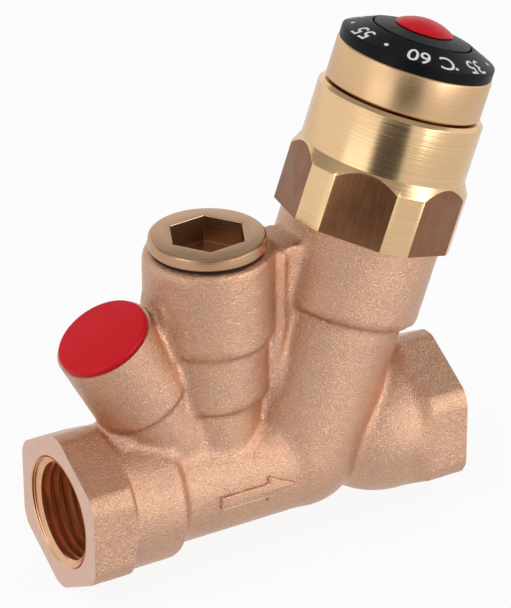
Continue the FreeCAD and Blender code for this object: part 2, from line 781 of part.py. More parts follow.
def make_spindle():
    journal = "stem_bore - fit_gap"
    spindle = turned("setting_spindle", "bonnet", [
        ("0", f"{COLLAR_FOOT} - thread_stem_length"),
        ("thread_stem_radius", f"{COLLAR_FOOT} - thread_stem_length"),
        ("thread_stem_radius", COLLAR_FOOT),
        ("collar_bore - slide_gap", COLLAR_FOOT),
        ("collar_bore - slide_gap", COLLAR_TOP),
        (journal, COLLAR_TOP),
        (journal, RING_LOWER),
        ("ring_groove_radius", RING_LOWER),
        ("ring_groove_radius", f"{RING_LOWER} + ring_groove"),
        (journal, f"{RING_LOWER} + ring_groove"),
        (journal, RING_UPPER),
        ("ring_groove_radius", RING_UPPER),
        ("ring_groove_radius", f"{RING_UPPER} + ring_groove"),
        (journal, f"{RING_UPPER} + ring_groove"),
        (journal, CLIP_FOOT),
        ("clip_groove_radius", CLIP_FOOT),
        ("clip_groove_radius", CLIP_TOP),
        (journal, CLIP_TOP),
        (journal, SPINDLE_SHOULDER),
        ("drive_turned_radius", SPINDLE_SHOULDER),
        ("drive_turned_radius", SPINDLE_TOP),
        ("0", SPINDLE_TOP),
    ])
    cut_hexagon(spindle, "spindle_drive", "XY_Plane", "drive_flats", SPINDLE_SHOULDER,
                f"{SPINDLE_TOP} - ({SPINDLE_SHOULDER})", "0", True, True)
    cut_hexagon(spindle, "key_socket", "XY_Plane", "key_flats", SPINDLE_TOP, "key_depth")
    section = "(stem_bore - ring_groove_radius) / 2"
    middle = "(stem_bore + ring_groove_radius) / 2"
    for name, foot in (("lower", RING_LOWER), ("upper", RING_UPPER)):
        round_ring(f"spindle_o_ring_{name}", "bonnet", middle, f"{section} - fit_gap / 2",
                   f"{foot} + ring_groove / 2")
    flat_ring("spindle_washer", "bonnet", "stem_bore", "collar_bore - slide_gap",
              f"{COLLAR_TOP} + fit_gap", f"{COLLAR_TOP} + fit_gap + washer")
    flat_ring("spindle_circlip", "bonnet", "clip_groove_radius + fit_gap",
              "clip_groove_radius + fit_gap + clip_width",
              f"{CLIP_FOOT} + fit_gap", f"{CLIP_FOOT} + fit_gap + clip_thickness")


def make_setting_pieces():
    groove = "nut_bore + cup_clip_groove"
    nut = turned("setting_nut", "bonnet", [
        ("nut_bore", NUT_FOOT),
        ("nut_turned_radius", NUT_FOOT),
        ("nut_turned_radius", NUT_TOP),
        ("thread_stem_radius + slide_gap", NUT_TOP),
        ("thread_stem_radius + slide_gap", NUT_CEILING),
        ("nut_bore", NUT_CEILING),
        ("nut_bore", CUP_FOOT),
        (groove, CUP_FOOT),
        (groove, CUP_CLIP_FOOT),
        ("nut_bore", CUP_CLIP_FOOT),
    ])
    cut_hexagon(nut, "nut_hexagon", "XY_Plane", "guide_flats - 2 * slide_gap", NUT_FOOT, "nut_length",
                "30 - bonnet_turn", True, True)
    flat_ring("cup_circlip", "bonnet", f"{groove} - cup_clip_width", f"{groove} - fit_gap",
              f"{CUP_CLIP_FOOT} + fit_gap", f"{CUP_CLIP_FOOT} + fit_gap + cup_clip")
    socket = "piston_radius + fit_gap"
    turned("spring_cup", "bonnet", [
        (socket, CUP_FOOT),
        ("nut_bore - slide_gap", CUP_FOOT),
        ("nut_bore - slide_gap", CUP_TOP),
        ("cup_stem_radius", CUP_TOP),
        ("cup_stem_radius", f"{CUP_TOP} + cup_stem_length"),
        ("0", f"{CUP_TOP} + cup_stem_length"),
        ("0", f"{CUP_FOOT} + cup_socket_depth"),
        (socket, f"{CUP_FOOT} + cup_socket_depth"),
    ])
    coil("overtravel_spring", "bonnet", "overtravel_spring_radius", "overtravel_wire", "overtravel_turns",
         CUP_TOP, NUT_CEILING)


def make_regulator():
    piston_foot = "element_guide_top - piston_reach"
    turned("element_piston", "bonnet", [
        ("0", piston_foot),
        ("piston_radius", piston_foot),
        ("piston_radius", f"{CUP_FOOT} + cup_socket_depth - fit_gap"),
        ("0", f"{CUP_FOOT} + cup_socket_depth - fit_gap"),
    ])
    cone_bore = "element_radius + fit_gap"
    well_floor = f"{CONE_FOOT} + cone_floor"
    turned("wax_element", "bonnet", [
        ("0", f"{well_floor} + fit_gap"),
        ("element_radius", f"{well_floor} + fit_gap"),
        ("element_radius", ELEMENT_SEAT),
        ("element_flange_radius", ELEMENT_SEAT),
        ("element_flange_radius", f"{ELEMENT_SEAT} + element_flange"),
        ("element_guide_radius", f"{ELEMENT_SEAT} + element_flange"),
        ("element_guide_radius", "element_guide_top"),
        ("piston_radius + fit_gap", "element_guide_top"),
        ("piston_radius + fit_gap", f"{piston_foot} - fit_gap"),
        ("0", f"{piston_foot} - fit_gap"),
    ])
    turned("regulating_cone", "bonnet", [
        ("0", f"{SEAL_FOOT} - cone_nose_length"),
        ("cone_nose_radius", f"{SEAL_FOOT} - cone_nose_length"),
        ("cone_nose_radius", CONE_FOOT),
        ("cone_radius", CONE_FOOT),
        ("cone_radius", CONE_SHOULDER),
        ("cone_flange_radius", CONE_SHOULDER),
        ("cone_flange_radius", CONE_TOP),
        (cone_bore, CONE_TOP),
        (cone_bore, well_floor),
        ("0", well_floor),
    ])
    flat_ring("cone_seal", "bonnet", "cone_nose_radius + fit_gap", "cone_seal_radius",
              SEAL_FOOT, f"{CONE_FOOT} - fit_gap")
    coil("return_spring", "bonnet", "return_spring_radius", "return_wire", "return_turns",
         "chamber_floor", CONE_SHOULDER)


casting = make_valve_body()
bore_valve_body(casting)
make_service_pieces()
make_port_plug()
make_bonnet()
make_head()
make_spindle()
make_setting_pieces()
make_regulator()
doc.recompute()

pieces = [thing for thing in doc.Objects if thing.TypeId in ("PartDesign::Body", "Part::Sweep")]
for thing in doc.Objects:
    if "Invalid" in thing.State or "Error" in thing.State:
        raise RuntimeError(f"{thing.Label} did not recompute: {thing.State}")
for piece in pieces:
    if piece.Shape.isNull() or not piece.Shape.isValid() or len(piece.Shape.Solids) != 1:
        raise RuntimeError(f"{piece.Label} has no valid shape")

os.makedirs("parts", exist_ok=True)
for piece in pieces:
    piece.Shape.exportStep(f"parts/{piece.Label}.step")
    print(f"{piece.Label}: {piece.Shape.Volume:.1f} mm3")
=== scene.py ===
import json
import math

import bmesh
import bpy
from mathutils import Matrix, Vector, noise
from mathutils.kdtree import KDTree


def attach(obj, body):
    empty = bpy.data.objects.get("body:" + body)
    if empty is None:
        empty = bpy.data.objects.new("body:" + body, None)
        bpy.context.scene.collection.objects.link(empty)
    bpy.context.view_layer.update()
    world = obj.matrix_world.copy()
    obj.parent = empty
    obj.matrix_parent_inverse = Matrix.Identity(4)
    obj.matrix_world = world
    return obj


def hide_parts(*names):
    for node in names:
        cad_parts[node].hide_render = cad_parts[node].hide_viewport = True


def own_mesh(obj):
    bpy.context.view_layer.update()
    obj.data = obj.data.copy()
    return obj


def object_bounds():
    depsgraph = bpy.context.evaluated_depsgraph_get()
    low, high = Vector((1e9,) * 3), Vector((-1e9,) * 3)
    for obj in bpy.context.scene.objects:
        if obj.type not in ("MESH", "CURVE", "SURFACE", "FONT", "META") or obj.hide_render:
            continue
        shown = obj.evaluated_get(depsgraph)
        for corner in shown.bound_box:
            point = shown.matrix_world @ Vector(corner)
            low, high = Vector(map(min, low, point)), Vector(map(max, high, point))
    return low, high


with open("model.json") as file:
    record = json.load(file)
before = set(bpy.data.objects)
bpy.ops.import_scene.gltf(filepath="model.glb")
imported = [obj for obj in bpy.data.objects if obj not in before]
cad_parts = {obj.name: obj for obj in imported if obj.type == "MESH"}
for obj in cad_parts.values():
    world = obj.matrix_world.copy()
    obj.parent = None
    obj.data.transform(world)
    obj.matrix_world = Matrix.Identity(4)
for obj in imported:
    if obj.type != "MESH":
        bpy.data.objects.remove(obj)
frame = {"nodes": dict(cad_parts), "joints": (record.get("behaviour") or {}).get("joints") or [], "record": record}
scene = bpy.context.scene
nodes = frame["nodes"]
joints = {joint["name"]: joint for joint in frame["joints"]}
cadBox = [list(corner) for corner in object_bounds()]
mm = 0.001
print("frame:", len(nodes), "nodes")

bossFeet = {"service": 32.05, "sensor": 28.3}  # where two bosses' axes cross the run, in mm from the inlet


# every axis lies in the XZ plane; a local frame has its Z along the axis and its Y along the part's Y
def axisFrame(axis, foot):
    up = Vector(axis).normalized()
    side = Vector((0, 1, 0))
    turned = Matrix((side.cross(up), side, up)).transposed().to_4x4()
    return Matrix.Translation(Vector(foot)) @ turned


axes = {
    "inlet": axisFrame((-1, 0, 0), (0, 0, 0)),
    "outlet": axisFrame((1, 0, 0), frame["record"]["mounts"][1]["pos_m"]),
    "service": axisFrame((0, 0, 1), (bossFeet["service"] * mm, 0, 0)),
    "sensor": axisFrame(joints["port_plug_pull"]["axis"], (bossFeet["sensor"] * mm, 0, 0)),
    "bonnet": axisFrame(joints["setting_turn"]["axis"], joints["setting_turn"]["pos_m"]),
}


class Wire:
    def __init__(self, tree, socket):
        self.tree = tree
        self.socket = socket

    def math(self, operation, first, second):
        return addNode(self.tree, "ShaderNodeMath", {"operation": operation}, {0: first, 1: second})

    def __add__(self, other):
        return self.math("ADD", self, other)

    def __radd__(self, other):
        return self.math("ADD", other, self)

    def __sub__(self, other):
        return self.math("SUBTRACT", self, other)

    def __rsub__(self, other):
        return self.math("SUBTRACT", other, self)

    def __mul__(self, other):
        return self.math("MULTIPLY", self, other)

    def __rmul__(self, other):
        return self.math("MULTIPLY", other, self)

    def output(self, name):
        return Wire(self.tree, self.socket.node.outputs[name])


def findSocket(sockets, key):
    if isinstance(key, int):
        return sockets[key]
    return next(s for s in sockets if key in (s.identifier, s.name))


def addNode(tree, kind, settings, sockets):
    node = tree.nodes.new(kind)
    for name, value in settings.items():
        if name == "stops":
            elements = node.color_ramp.elements
            while len(elements) < len(value):
                elements.new(1)
            for element, (position, colour) in zip(elements, value):
                element.position = position
                element.color = (*colour, 1)
        else:
            setattr(node, name, value)
    for key, value in sockets.items():
        socket = findSocket(node.inputs, key)
        if isinstance(value, Wire):
            tree.links.new(value.socket, socket)
        else:
            socket.default_value = value
    return Wire(tree, next((s for s in node.outputs if s.enabled), None))


def newFinish(name):
    material = bpy.data.materials.new(name)
    material.use_nodes = True
    material.node_tree.nodes.clear()
    return material, material.node_tree


# coordinates in millimetres in the local frame of an axis, or of the part
def localMm(tree, axisName=None):
    place = axes[axisName] if axisName else Matrix.Identity(4)
    objectPlace = addNode(tree, "ShaderNodeTexCoord", {}, {}).output("Object")
    return addNode(tree, "ShaderNodeMapping", {"vector_type": "TEXTURE"},
                   {"Vector": objectPlace, "Location": place.translation, "Rotation": place.to_euler(),
                    "Scale": (mm, mm, mm)})


def cloud(tree, place, scale, detail, roughness=0.5):
    return addNode(tree, "ShaderNodeTexNoise", {},
                   {"Vector": place, "Scale": scale, "Detail": detail, "Roughness": roughness})


# lines that a cutting tool leaves: noise along one measure
def grooves(tree, place, scale, detail):
    return addNode(tree, "ShaderNodeTexNoise", {"noise_dimensions": "1D"},
                   {"W": place, "Scale": scale, "Detail": detail})


# distance from the local Z axis
def radiusOf(tree, place):
    flat = addNode(tree, "ShaderNodeVectorMath", {"operation": "MULTIPLY"}, {0: place, 1: (1, 1, 0)})
    return addNode(tree, "ShaderNodeVectorMath", {"operation": "LENGTH"}, {0: flat}).output("Value")


def blendColour(tree, factor, first, second):
    return addNode(tree, "ShaderNodeMix", {"data_type": "RGBA"},
                   {"Factor_Float": factor, "A_Color": first, "B_Color": second})


def ramp(tree, factor, stops):
    return addNode(tree, "ShaderNodeValToRGB", {"stops": stops}, {"Fac": factor})


def bump(tree, height, strength, depth):
    return addNode(tree, "ShaderNodeBump", {},
                   {"Height": height, "Strength": strength, "Distance": depth * mm})


def surface(tree, sockets):
    shader = addNode(tree, "ShaderNodeBsdfPrincipled", {}, sockets)
    addNode(tree, "ShaderNodeOutputMaterial", {}, {"Surface": shader})


# a colour as a screen shows it, 0 to 255, made linear
def linear(red, green, blue):
    shares = [c / 255 for c in (red, green, blue)]
    return tuple(((s + 0.055) / 1.055) ** 2.4 if s > 0.04045 else s / 12.92 for s in shares) + (1,)


# sand-cast gunmetal: a pinkish skin of sand grains, some of them bare and glinting
def castGunmetal(name, look):
    material, tree = newFinish(name)
    place = localMm(tree)
    sand = cloud(tree, place, scale=2.8, detail=3, roughness=0.6)
    speck = cloud(tree, place, scale=6.0, detail=2, roughness=0.6)
    tone = cloud(tree, place, scale=0.12, detail=3)
    patches = ramp(tree, tone, [(0.38, (0, 0, 0)), (0.62, (1, 1, 1))])
    skin = blendColour(tree, patches, look["skin"], look["warm"])
    bare = ramp(tree, sand * 0.55 + speck * 0.45, [(0.50, (0, 0, 0)), (0.70, (1, 1, 1))])
    pits = ramp(tree, sand * 0.5 + speck * 0.5, [(0.32, (1, 1, 1)), (0.46, (0, 0, 0))])
    grains = blendColour(tree, bare, skin, look["bare"])
    surface(tree, {
        "Base Color": blendColour(tree, pits, grains, look["pit"]),
        "Metallic": 1.0,
        "Roughness": 0.32 - bare * 0.12,
        "Normal": bump(tree, sand + speck * 0.6, strength=0.9, depth=0.18),
    })
    return material


# faced ends and boss tops of the casting, with the cutter's rings
def facedGunmetal(axisName):
    look = {"fresh": linear(238, 202, 182), "dull": linear(222, 180, 158)}
    material, tree = newFinish("faced_gunmetal_" + axisName)
    place = localMm(tree, axisName)
    rings = grooves(tree, radiusOf(tree, place), scale=7.0, detail=3)
    tone = cloud(tree, place, scale=0.35, detail=3)
    surface(tree, {
        "Base Color": blendColour(tree, tone * 0.7 + rings * 0.3, look["dull"], look["fresh"]),
        "Metallic": 1.0,
        "Roughness": 0.26 + rings * 0.16,
        "Normal": bump(tree, rings, strength=0.25, depth=0.03),
    })
    return material


# bores and cut threads, oily; their colours are kept light, partly as cut metal and partly as painted light inside
# the bores
def boredGunmetal():
    look = {"cut": linear(246, 202, 164), "stain": linear(214, 156, 118)}
    material, tree = newFinish("bored_gunmetal")
    place = localMm(tree)
    stain = cloud(tree, place, scale=0.5, detail=4, roughness=0.6)
    scratch = cloud(tree, place, scale=5.0, detail=2)
    surface(tree, {
        "Base Color": blendColour(tree, stain * 0.8 + scratch * 0.2, look["stain"], look["cut"]),
        "Metallic": 1.0,
        "Roughness": 0.22 + scratch * 0.16,
        "Normal": bump(tree, scratch, strength=0.12, depth=0.02),
    })
    return material


# bright turned brass with the tool's fine rings round an axis
def turnedBrass(name, axisName, look):
    material, tree = newFinish(name)
    place = localMm(tree, axisName)
    parts = addNode(tree, "ShaderNodeSeparateXYZ", {}, {"Vector": place})
    feed = parts.output("Z") + radiusOf(tree, place)  # the tool's path, along a side and across an end
    fine = grooves(tree, feed, scale=3.2, detail=5)
    broad = grooves(tree, feed, scale=1.3, detail=2)
    stretched = addNode(tree, "ShaderNodeCombineXYZ", {}, {
        "X": parts.output("X") * 0.1, "Y": parts.output("Y") * 0.1, "Z": feed * 2.6})
    streak = cloud(tree, stretched, scale=1.0, detail=3)
    tone = fine * 0.4 + broad * 0.25 + streak * 0.35
    surface(tree, {
        "Base Color": blendColour(tree, tone, look["deep"], look["pale"]),
        "Metallic": 1.0,
        "Roughness": look["roughness"] + fine * 0.1 + streak * 0.06,
        "Normal": bump(tree, fine * 0.5 + streak * 0.6, strength=look["rings"], depth=0.025),
    })
    return material


# drawn bar: the hexagon's flats keep the bar's lengthwise marks and a darker brown, partly the bar's skin and
# partly painted shade, the dark that the flats mirror
def drawnAndShadedBrass():
    look = {"skin": linear(150, 104, 76), "scuff": linear(166, 118, 83), "shade": linear(131, 87, 60)}
    material, tree = newFinish("drawn_brass")
    place = localMm(tree, "bonnet")
    along = addNode(tree, "ShaderNodeVectorMath", {"operation": "MULTIPLY"}, {0: place, 1: (2.2, 2.2, 0.16)})
    streak = cloud(tree, along, scale=1.0, detail=4, roughness=0.6)
    patch = cloud(tree, place, scale=0.3, detail=3)
    skin = blendColour(tree, patch, look["shade"], look["skin"])
    scuffs = ramp(tree, streak * 0.75 + patch * 0.25, [(0.46, (0, 0, 0)), (0.86, (1, 1, 1))])
    surface(tree, {
        "Base Color": blendColour(tree, scuffs, skin, look["scuff"]),
        "Metallic": 1.0,
        "Roughness": 0.32 + streak * 0.1,
        "Normal": bump(tree, streak, strength=0.1, depth=0.02),
    })
    return material


# moulded plastics and rubber: a faint skin texture and slightly uneven gloss
def moulding(name, look):
    material, tree = newFinish(name)
    place = localMm(tree)
    skin = cloud(tree, place, scale=look["grain"], detail=3, roughness=0.6)
    tone = cloud(tree, place, scale=0.25, detail=2)
    surface(tree, {
        "Base Color": blendColour(tree, tone * 0.6 + skin * 0.4, look["deep"], look["pale"]),
        "Roughness": look["roughness"] + skin * 0.14,
        "Specular IOR Level": look["gloss"],
        "Normal": bump(tree, skin, strength=look["relief"], depth=0.03),
    })
    return material


# spring wire, drawn and lightly oiled
def springWire():
    material, tree = newFinish("spring_wire")
    place = localMm(tree)
    grain = cloud(tree, place, scale=3.0, detail=3)
    stain = cloud(tree, place, scale=0.4, detail=3)
    surface(tree, {
        "Base Color": blendColour(tree, stain, linear(120, 120, 122), linear(176, 175, 172)),
        "Metallic": 1.0,
        "Roughness": 0.24 + grain * 0.16,
        "Normal": bump(tree, grain, strength=0.1, depth=0.02),
    })
    return material


castLooks = {
    "skin": {"skin": linear(207, 162, 139), "warm": linear(213, 167, 138), "bare": linear(236, 200, 164),
             "pit": linear(172, 126, 103)},
    # a paler copy of the cast skin: painted highlight for the arrow's lower edges
    "painted_highlight": {"skin": linear(250, 220, 192), "warm": linear(252, 224, 194), "bare": linear(255, 236, 212),
             "pit": linear(230, 190, 160)},
}
brassLooks = {
    "head": {"deep": linear(216, 176, 128), "pale": linear(238, 204, 160), "roughness": 0.12, "rings": 1.0},
    "ring": {"deep": linear(208, 167, 124), "pale": linear(230, 194, 152), "roughness": 0.24, "rings": 0.5},
    "plug": {"deep": linear(172, 132, 102), "pale": linear(216, 176, 140), "roughness": 0.2, "rings": 0.7},
    # a darker copy of the plug's brass: painted shade inside its socket
    "socket": {"deep": linear(124, 94, 68), "pale": linear(176, 140, 106), "roughness": 0.3, "rings": 0.5},
    "inside": {"deep": linear(176, 138, 86), "pale": linear(222, 184, 122), "roughness": 0.22, "rings": 0.25},
}
finishes = {
    "cast": castGunmetal("cast_gunmetal", castLooks["skin"]),
    # painted highlight for the arrow's lower edges
    "painted_highlight": castGunmetal("worn_gunmetal", castLooks["painted_highlight"]),
    "bored": boredGunmetal(),
    "turned": turnedBrass("turned_brass", "bonnet", brassLooks["head"]),
    "ring": turnedBrass("ring_brass", "bonnet", brassLooks["ring"]),
    # darker brass for the hexagon's flats, partly painted shade
    "drawn_and_shaded": drawnAndShadedBrass(),
    "plug": turnedBrass("plug_brass", "service", brassLooks["plug"]),
    # painted shade for the plug's socket
    "socket": turnedBrass("socket_brass", "service", brassLooks["socket"]),
    "inside": turnedBrass("inner_brass", "bonnet", brassLooks["inside"]),
    "black": moulding("black_moulding", {"deep": (0.003, 0.003, 0.005, 1), "pale": (0.008, 0.008, 0.011, 1),
                                         "grain": 5.0, "roughness": 0.30, "relief": 0.12, "gloss": 0.1}),
    "red": moulding("red_moulding", {"deep": linear(198, 2, 20), "pale": linear(220, 6, 28),
                                     "grain": 4.0, "roughness": 0.28, "relief": 0.08, "gloss": 0.2}),
    "rubber": moulding("seal_rubber", {"deep": (0.012, 0.012, 0.012, 1), "pale": (0.035, 0.034, 0.033, 1),
                                       "grain": 6.0, "roughness": 0.48, "relief": 0.15, "gloss": 0.4}),
    "washer": moulding("slip_washer", {"deep": linear(206, 202, 190), "pale": linear(230, 227, 218),
                                       "grain": 4.0, "roughness": 0.34, "relief": 0.08, "gloss": 0.5}),
    "print": moulding("white_print", {"deep": linear(214, 214, 214), "pale": linear(240, 240, 240),
                                      "grain": 8.0, "roughness": 0.45, "relief": 0.1, "gloss": 0.3}),
    "wire": springWire(),
}
for axisName in axes:
    finishes["faced " + axisName] = facedGunmetal(axisName)
print("finishes:", len(finishes))


def meshFrom(name, bm):
    mesh = bpy.data.meshes.new(name)
    bm.to_mesh(mesh)
    bm.free()
    return mesh


def addObject(name, data):
    thing = bpy.data.objects.new(name, data)
    scene.collection.objects.link(thing)
    return thing


def vertsIn(geom):
    return [g for g in geom if isinstance(g, bmesh.types.BMVert)]


def treeOf(points):
    tree = KDTree(len(points))
    for index, point in enumerate(points):
        tree.insert(point, index)
    tree.balance()
    return tree


def mergedCopy(nodeName):
    bm = bmesh.new()
    bm.from_mesh(nodes[nodeName].data)
    bmesh.ops.remove_doubles(bm, verts=bm.verts, dist=1e-6)
    return bm


def makePiece(name, bm, body, looks, hides=(), crease=32):
    bmesh.ops.recalc_face_normals(bm, faces=bm.faces)
    for face in bm.faces:
        face.smooth = True
    for edge in bm.edges:
        edge.smooth = len(edge.link_faces) == 2 and edge.calc_face_angle() < math.radians(crease)
    mesh = meshFrom(name, bm)
    for look in looks:
        mesh.materials.append(finishes[look])
    piece = addObject(name, mesh)
    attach(piece, body)
    if hides:
        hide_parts(*hides)
    return piece


casting = {
    # height of each machined face on its axis, how far it reaches, and the length left on it to be cut off
    "faces": {"inlet": (0, 16.5, 2), "outlet": (0, 16.5, 2), "service": (46, 13, 0), "sensor": (37.6, 9.9, 2),
              "bonnet": (45.2, 17, 2)},
    "steps": [("outlet", -71), ("service", 28.4), ("service", 16.4), ("sensor", 22), ("bonnet", 29.2)],
    "voxel": 0.43, "softPasses": 2, "filletReach": 2.0, "filletPasses": 22, "skim": 0.1,
    "waviness": 0.04, "waveLength": 1.5, "leadIn": 0.45, "threadRadius": 10.478, "mouthMargin": 0.1,
    "flatWithin": 0.01, "cornerAngle": 0.2, "cornerStep": 0.5, "cutDepth": 1.5, "cutMargin": 0.4,
    # rounded ridges in the corners between the bosses, rows of balls that the remesh runs together
    "ridges": [
        {"path": [(21.2, 3.2, 37.2), (21.4, 3.6, 34), (21.9, 3.8, 30.6), (22.8, 3.8, 25.8),
                  (23.3, 3.5, 20.6)], "size": 1.5},
        {"path": [(44.0, 4.3, 42.6), (44.0, 4.3, 29), (43.4, 4.3, 24.6), (43.2, 4.3, 17)], "size": 2.0},
        {"path": [(10.9, 0, 13.6), (11.2, -2.4, 13.6), (11.9, -4.2, 13.2)], "size": 1.6},
    ],
    "ballStep": 0.7, "ridgeReach": 1.0, "ridgePasses": 10,
}


def onFace(point, axisName, height, reach):
    local = axes[axisName].inverted() @ point / mm
    return abs(local.z - height) < casting["flatWithin"] and math.hypot(local.x, local.y) < reach


def openLoops(bm, axisName, height, reach):
    return [e for e in bm.edges if len(e.link_faces) == 1
            and all(onFace(v.co, axisName, height, reach) for v in e.verts)]


def joinTo(bm, other):
    mesh = meshFrom("joined", other)
    bm.from_mesh(mesh)
    bpy.data.meshes.remove(mesh)


def reachedFrom(start):
    reached = {start}
    waiting = [start]
    while waiting:
        for edge in waiting.pop().link_edges:
            for vert in edge.verts:
                if vert not in reached:
                    reached.add(vert)
                    waiting.append(vert)
    return reached


# concave corners between two parts of the casting, which the foundry rounds; the steps of one part stay crisp
def junctionTree(bm):
    points = []
    for edge in bm.edges:
        if len(edge.link_faces) != 2 or edge.calc_face_angle_signed() > -casting["cornerAngle"]:
            continue
        first, second = (v.co for v in edge.verts)
        if any(onFace(first, name, height, math.inf) and onFace(second, name, height, math.inf)
               for name, height in casting["steps"]):
            continue
        count = max(1, math.ceil((second - first).length / (casting["cornerStep"] * mm)))
        points += [first.lerp(second, step / count) for step in range(count + 1)]
    return treeOf(points)


def remeshed(bm):
    mesh = meshFrom("rough", bm)
    rough = addObject("rough", mesh)
    modifier = rough.modifiers.new("voxels", "REMESH")
    modifier.mode = "VOXEL"
    modifier.voxel_size = casting["voxel"] * mm
    done = rough.evaluated_get(bpy.context.evaluated_depsgraph_get())
    result = bmesh.new()
    result.from_mesh(done.to_mesh())
    bpy.data.objects.remove(rough)
    bpy.data.meshes.remove(mesh)
    return result


def soften(bm, verts, passes):
    for _ in range(passes):
        bmesh.ops.smooth_vert(bm, verts=verts, factor=0.5, use_axis_x=True, use_axis_y=True, use_axis_z=True)


# the mouth of a threaded end is opened to a short cone
def openMouth(bm, axisName):
    edges = openLoops(bm, axisName, 0, casting["threadRadius"] + casting["mouthMargin"])
    mouth = list({v for e in edges for v in e.verts})
    rim = vertsIn(bmesh.ops.extrude_edge_only(bm, edges=edges)["geom"])
    wider = 1 + casting["leadIn"] / casting["threadRadius"]
    bmesh.ops.scale(bm, vec=(1, wider, wider), verts=rim)
    bmesh.ops.translate(bm, verts=mouth, vec=axes[axisName].col[2].xyz * -casting["leadIn"] * mm)


# places and sizes of the balls along the ridges, on both sides of the casting
def ridgeBalls():
    balls = []
    for ridge in casting["ridges"]:
        for first, second in zip(ridge["path"], ridge["path"][1:]):
            first, second = Vector(first) * mm, Vector(second) * mm
            count = math.ceil((second - first).length / (casting["ballStep"] * mm))
            for step in range(count + 1):
                place = first.lerp(second, step / count)
                for side in (1, -1):
                    balls.append((Vector((place.x, place.y * side, place.z)), ridge["size"] * mm))
    return balls


def alongRidges(verts, balls):
    tree = treeOf([place for place, size in balls])
    found = []
    for vert in verts:
        index, distance = tree.find(vert.co)[1:]
        if distance < balls[index][1] + casting["ridgeReach"] * mm:
            found.append(vert)
    return found


def makeCasting():
    bm = mergedCopy("valve_body")
    for name, (height, reach, overrun) in casting["faces"].items():
        faced = [f for f in bm.faces if all(onFace(v.co, name, height, reach) for v in f.verts)]
        bmesh.ops.delete(bm, geom=faced, context="FACES")
    bores = bm.copy()
    outside = {v.index for v in reachedFrom(min(bm.verts, key=lambda v: v.co.z))}
    bores.verts.ensure_lookup_table()
    bmesh.ops.delete(bores, geom=[v for v in bores.verts if v.index in outside], context="VERTS")
    bmesh.ops.delete(bm, geom=[v for v in bm.verts if v.index not in outside], context="VERTS")
    corners = junctionTree(bm)
    for name, (height, reach, overrun) in casting["faces"].items():
        if overrun:
            grown = bmesh.ops.extrude_edge_only(bm, edges=openLoops(bm, name, height, reach))["geom"]
            bmesh.ops.translate(bm, verts=vertsIn(grown), vec=axes[name].col[2].xyz * overrun * mm)
    bmesh.ops.holes_fill(bm, edges=[e for e in bm.edges if len(e.link_faces) == 1], sides=0)
    balls = ridgeBalls()
    for place, size in balls:
        bmesh.ops.create_icosphere(bm, subdivisions=2, radius=size, matrix=Matrix.Translation(place))
    skin = remeshed(bm)
    soften(skin, skin.verts, casting["softPasses"])
    soften(skin, alongRidges(skin.verts, balls), casting["ridgePasses"])
    near = [v for v in skin.verts if corners.find(v.co)[2] < casting["filletReach"] * mm]
    soften(skin, near, casting["filletPasses"])
    soften(skin, skin.verts, 1)
    skin.normal_update()
    for vert in skin.verts:
        wave = noise.noise(vert.co / (casting["waveLength"] * mm))
        vert.co += vert.normal * wave * casting["waviness"] * mm
    for name, (height, reach, overrun) in casting["faces"].items():
        local = axes[name].inverted()
        level = height if overrun else height - casting["skim"]
        above = {v for v in skin.verts if (local @ v.co).z > (level - casting["cutDepth"]) * mm
                 and (local @ v.co).xy.length < (reach + casting["cutMargin"]) * mm}
        geom = list(above) + [g for g in skin.edges[:] + skin.faces[:] if all(v in above for v in g.verts)]
        bmesh.ops.bisect_plane(skin, geom=geom, plane_co=axes[name] @ Vector((0, 0, level * mm)),
                               plane_no=axes[name].col[2].xyz, clear_outer=True)
    castFaces = set(skin.faces)
    for name in ("inlet", "outlet"):
        openMouth(bores, name)
    joinTo(skin, bores)
    for face in skin.faces:
        face.material_index = 0 if face in castFaces else 1
    for index, (name, (height, reach, overrun)) in enumerate(casting["faces"].items()):
        level = height if overrun else height - casting["skim"]
        edges = openLoops(skin, name, height, reach)
        if not overrun:
            edges += openLoops(skin, name, level, reach)
        for face in bmesh.ops.bridge_loops(skin, edges=edges)["faces"]:
            face.material_index = 2 + index
    looks = ["cast", "bored"] + ["faced " + name for name in casting["faces"]]
    return makePiece("valve_casting", skin, "body", looks, ["valve_body"])


valveCasting = makeCasting()
print("casting:", len(valveCasting.data.polygons), "faces")

arrow = {"tail": 27.4, "tip": 43.3, "headLength": 5.8, "shaft": 1.4, "head": 2.9, "turn": -2.5,
         "pipe": 11.9, "sunk": 0.4, "height": 0.55, "strip": 0.5, "edge": 0.38, "lit": -0.25}
